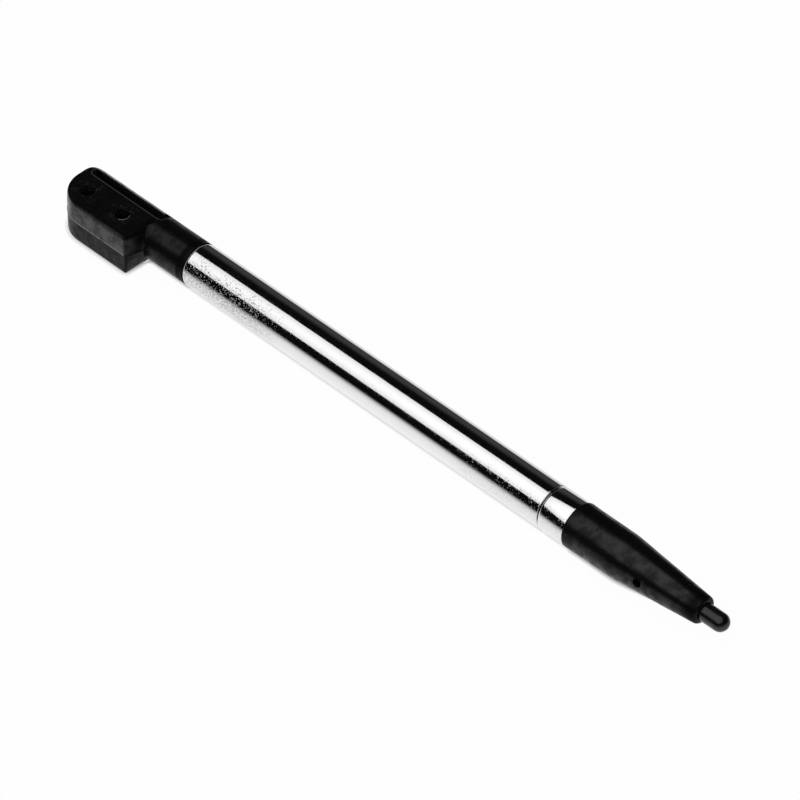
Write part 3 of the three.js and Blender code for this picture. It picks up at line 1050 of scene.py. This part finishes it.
def add_softbox():
    """A large round soft light over the pen, leaning to the near side."""
    angle = math.radians(SOFTBOX_ANGLE)
    data = bpy.data.lights.new("softbox", "AREA")
    data.shape = "ELLIPSE"
    data.size, data.size_y = SOFTBOX_SPAN
    data.energy = SOFTBOX_LEVEL * math.pi * (math.pi / 4 * data.size * data.size_y)
    out = Vector((0, math.cos(angle), math.sin(angle)))
    along = Vector((1, 0, 0))
    turn = Matrix((along, out.cross(along), out)).transposed().to_4x4()
    light = bpy.data.objects.new("softbox", data)
    light.matrix_world = Matrix.Translation(SOFTBOX_DISTANCE * out) @ turn
    data.use_nodes = True
    s = Shader(data.node_tree)
    from_middle = s.distance(s.node("NewGeometry", output="Parametric"), (0.5, 0.5, 0))
    glow = s.node("Emission", inputs={"Strength": from_middle.fade(0.2, 0.5, 1, SOFTBOX_EDGE_LEVEL)})
    s.node("OutputLight", inputs={"Surface": glow})
    bpy.context.scene.collection.objects.link(light)


def seen(shader, *rays):
    """1 for the named kinds of ray, otherwise 0."""
    total = shader.node("LightPath", output=rays[0])
    for ray in rays[1:]:
        total = total.math("MAXIMUM", shader.node("LightPath", output=ray))
    return total


def add_floor():
    """A pale floor that shows white with the pen's shadow. Reflections show it as a painted pool of light
    round the pen, dimmer away from it, with a painted shadow on its far side.
    """
    material, s = new_material("floor_white")
    lit = s.node("BsdfDiffuse", inputs={"Color": (FLOOR_GREY, FLOOR_GREY, FLOOR_GREY, 1)})
    white = s.node("Emission", inputs={"Color": (1, 1, 1, 1), "Strength": 1.0})
    dark = s.node("BsdfDiffuse", inputs={"Color": (0, 0, 0, 1)})
    glossy = seen(s, "Is Glossy Ray")
    direct = seen(s, "Is Camera Ray", "Is Transmission Ray")
    contact = s.node("AmbientOcclusion", {"samples": 8}, {"Distance": CONTACT_SHADE_REACH}, output="AO")
    share = (direct * contact.math("POWER", CONTACT_SHADE_POWER) + glossy) * FLOOR_WHITE_SHARE
    paper = s.node("MixShader", inputs={"Fac": share, 1: lit, 2: white})
    across = s.part(s.node("TexCoord", output="Object"), "Y") - AXIS_Y
    reach = across.math("MAXIMUM", 0.0) / FLOOR_FAR_REACH - across.math("MINIMUM", 0.0) / FLOOR_NEAR_REACH
    # Painted shadow on the far side of the floor, seen only in reflections.
    far_shade = across.fade(0, FLOOR_FAR_SHADE_REACH, 0, FLOOR_FAR_SHADE)
    level = (1 - far_shade) / (reach.math("POWER", FLOOR_FALL) + 1)
    faded = s.node("MixShader", inputs={"Fac": glossy * (1 - level), 1: paper, 2: dark})
    s.node("OutputMaterial", inputs={"Surface": faded})
    bm = bmesh.new()
    bmesh.ops.create_grid(bm, x_segments=1, y_segments=1, size=FLOOR_SIZE / 2)
    floor = as_object(bm, "floor")
    floor.data.materials.append(material)


def add_world():
    """White to the eye, a dim room to reflections, and a soft fill on everything else."""
    world = bpy.data.worlds.new("studio")
    world.use_nodes = True
    bpy.context.scene.world = world
    s = Shader(world.node_tree)
    way = s.node("TexCoord", output="Generated")
    camera = seen(s, "Is Camera Ray")
    glossy = seen(s, "Is Glossy Ray")
    far_wall = s.part(way, "Z").fade(0.35, 0.68, ROOM_FAR_LEVEL, 0) * s.part(way, "Y").fade(0, 0.3)
    room = ROOM_LEVEL + far_wall
    level = camera + glossy * (1 - camera) * room + (1 - glossy) * (1 - camera) * FILL_LEVEL
    background = s.node("Background", inputs={"Color": (1, 1, 1, 1), "Strength": level})
    s.node("OutputWorld", inputs={"Surface": background})


add_camera()
add_softbox()
add_floor()
add_world()
bpy.context.scene.view_settings.view_transform = "Standard"
